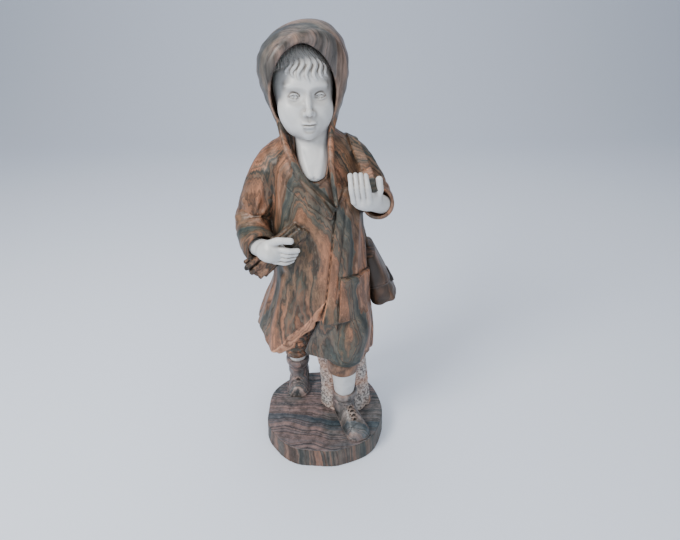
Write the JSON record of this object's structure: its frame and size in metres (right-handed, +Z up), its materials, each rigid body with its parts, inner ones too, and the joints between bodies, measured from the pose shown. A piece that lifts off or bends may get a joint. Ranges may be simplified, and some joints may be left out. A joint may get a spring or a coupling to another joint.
{
  "type": "marble statue of a walking child",
  "caption": "Marble statue of a walking child in a hooded coat with a bundle of sticks and a satchel, on an oval plinth.",
  "frame": {"origin": "middle of the plinth's underside", "axes": "+Z up through the figure, the figure faces -Y, +X is the figure's left"},
  "size_m": [0.4622, 0.3798, 1.2985],
  "materials": {
    "veined_marble": "semi-polished, pink-brown and grey-green veins",
    "white_marble": "satin white marble"
  },
  "bodies": {
    "root": {"plinth": "veined_marble", "figure": "veined_marble", "left_shoe": "veined_marble", "right_shoe": "veined_marble", "left_shin": "white_marble", "right_ankle": "white_marble", "head": "white_marble", "right_hand": "white_marble", "left_hand": "white_marble"}
  },
  "joints": []
}
